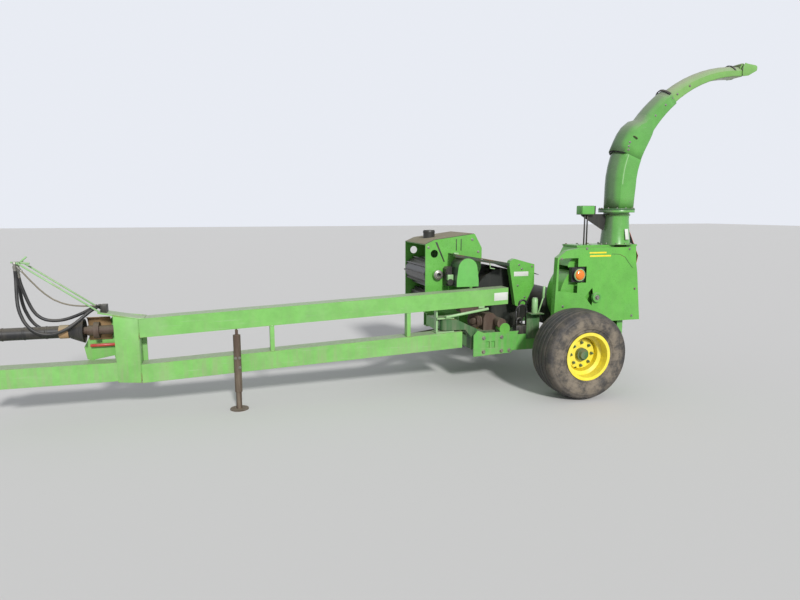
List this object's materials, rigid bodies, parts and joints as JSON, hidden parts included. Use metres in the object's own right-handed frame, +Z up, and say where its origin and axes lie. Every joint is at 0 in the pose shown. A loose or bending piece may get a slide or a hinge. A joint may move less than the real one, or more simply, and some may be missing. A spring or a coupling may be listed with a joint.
{
  "type": "towed forage harvester",
  "caption": "Towed forage harvester with a swing tongue, open feed rolls, cutting drum housing, belt-driven blower, turning discharge spout with tilting flap, and wide rib tyres.",
  "frame": {"origin": "on the ground, under the middle of the machine's box", "axes": "+X towards the hitch, +Y to the machine's left, +Z up"},
  "size_m": [7.1814, 2.545, 3.0841],
  "materials": {
    "tyre_rubber": "worn, dusty tread",
    "rim_yellow": "gloss paint with dust",
    "green_paint": "semi gloss farm green, worn at edges",
    "dark_green": "dark green paint in the shade",
    "dark_iron": "oily dark iron",
    "rusty_iron": "rusty",
    "roll_steel": "worn dark steel",
    "black_plastic": "black plastic",
    "rod_steel": "polished rod",
    "pale_green": "faded light green",
    "emblem_red": "faded orange red plate"
  },
  "bodies": {
    "chassis": {"axle": "dark_green", "main_frame": "green_paint", "swing_arm": "dark_green", "wagon_hitch": "green_paint", "feed_housing": "green_paint", "feed_hood": "green_paint", "feed_gearcase": "dark_iron", "roll_drive_hood": "green_paint", "cutter_housing": "dark_iron", "cutter_cover": "green_paint", "control_shield": "green_paint", "main_gearbox": "rusty_iron", "blower_housing": "green_paint", "belt_shield": "green_paint", "lamp_left": "black_plastic", "lamp_right": "black_plastic", "rear_emblem": "emblem_red", "spout_base": "green_paint", "spout_motor": "dark_iron", "swing_bracket": "green_paint"},
    "wheel_left": {"tyre_left": "tyre_rubber", "rim_left": "rim_yellow", "hub_left": "dark_green"},
    "wheel_right": {"tyre_right": "tyre_rubber", "rim_right": "rim_yellow", "hub_right": "dark_green"},
    "tongue": {"lower_beam": "green_paint", "upper_beam": "green_paint", "tongue_posts": "green_paint", "drawbar": "green_paint", "swing_pin": "rusty_iron", "parking_jack": "rusty_iron", "hose_holder": "pale_green", "shaft_shield": "black_plastic", "shaft_guard": "rusty_iron", "swing_lug": "green_paint"},
    "pto": {"pto_shaft": "rusty_iron"},
    "swing_barrel": {"swing_cylinder": "dark_iron"},
    "swing_piston": {"swing_rod": "rod_steel"},
    "spout": {"spout_riser": "green_paint", "spout_bend": "green_paint", "spout_end": "green_paint"},
    "flap": {"deflector": "green_paint"},
    "roll_upper_front": {"upper_front_roll": "roll_steel"},
    "roll_lower_front": {"lower_front_roll": "roll_steel"},
    "roll_upper_rear": {"upper_rear_roll": "roll_steel"},
    "roll_lower_rear": {"lower_rear_roll": "roll_steel"}
  },
  "joints": [
    {"name": "wheel_left_spin", "type": "hinge", "parent": "chassis", "child": "wheel_left", "pos_m": [-1.4093, 1.1, 0.3935], "axis": [0, 1, 0], "continuous": true},
    {"name": "wheel_right_spin", "type": "hinge", "parent": "chassis", "child": "wheel_right", "pos_m": [-1.4093, -1.1, 0.3935], "axis": [0, 1, 0], "continuous": true},
    {"name": "tongue_swing", "type": "hinge", "parent": "chassis", "child": "tongue", "pos_m": [-0.3793, 0.51, 0.6], "axis": [0, 0, 1], "range_deg": [-12, 15]},
    {"name": "swing_barrel_turn", "type": "hinge", "parent": "chassis", "child": "swing_barrel", "pos_m": [-0.5493, -0.06, 0.415], "axis": [0, 0, 1], "range_deg": [-7.51, 9.26]},
    {"name": "swing_rod_slide", "type": "slide", "parent": "swing_barrel", "child": "swing_piston", "axis": [0.8944, 0.4472, 0], "range_m": [-0.0916, 0.1141]},
    {"name": "pto_spin", "type": "hinge", "parent": "tongue", "child": "pto", "pos_m": [2.5707, 0.51, 0.705], "axis": [1, 0, 0], "continuous": true},
    {"name": "spout_turn", "type": "hinge", "parent": "chassis", "child": "spout", "pos_m": [-2.0493, 0.65, 1.64], "axis": [0, 0, 1], "range_deg": [-100, 100]},
    {"name": "deflector_tilt", "type": "hinge", "parent": "spout", "child": "flap", "pos_m": [-3.33901, 0.65, 3.03919], "axis": [0, 1, 0], "range_deg": [-60, 0]},
    {"name": "upper_front_spin", "type": "hinge", "parent": "chassis", "child": "roll_upper_front", "pos_m": [-0.3893, 0, 1.03], "axis": [0, 1, 0], "continuous": true},
    {"name": "lower_front_spin", "type": "hinge", "parent": "chassis", "child": "roll_lower_front", "pos_m": [-0.3993, 0, 0.76], "axis": [0, 1, 0], "continuous": true},
    {"name": "upper_rear_spin", "type": "hinge", "parent": "chassis", "child": "roll_upper_rear", "pos_m": [-0.6573, 0, 0.98], "axis": [0, 1, 0], "continuous": true},
    {"name": "lower_rear_spin", "type": "hinge", "parent": "chassis", "child": "roll_lower_rear", "pos_m": [-0.6573, 0, 0.76], "axis": [0, 1, 0], "continuous": true}
  ],
  "couplings": [
    {"joint": "swing_barrel_turn", "follows": "tongue_swing", "ratio": 0.584},
    {"joint": "swing_rod_slide", "follows": "tongue_swing", "m_per_rad": 0.428},
    {"joint": "lower_front_spin", "follows": "upper_front_spin", "ratio": -1.5556},
    {"joint": "upper_rear_spin", "follows": "upper_front_spin", "ratio": 1.5556},
    {"joint": "lower_rear_spin", "follows": "upper_front_spin", "ratio": -1.5556}
  ]
}
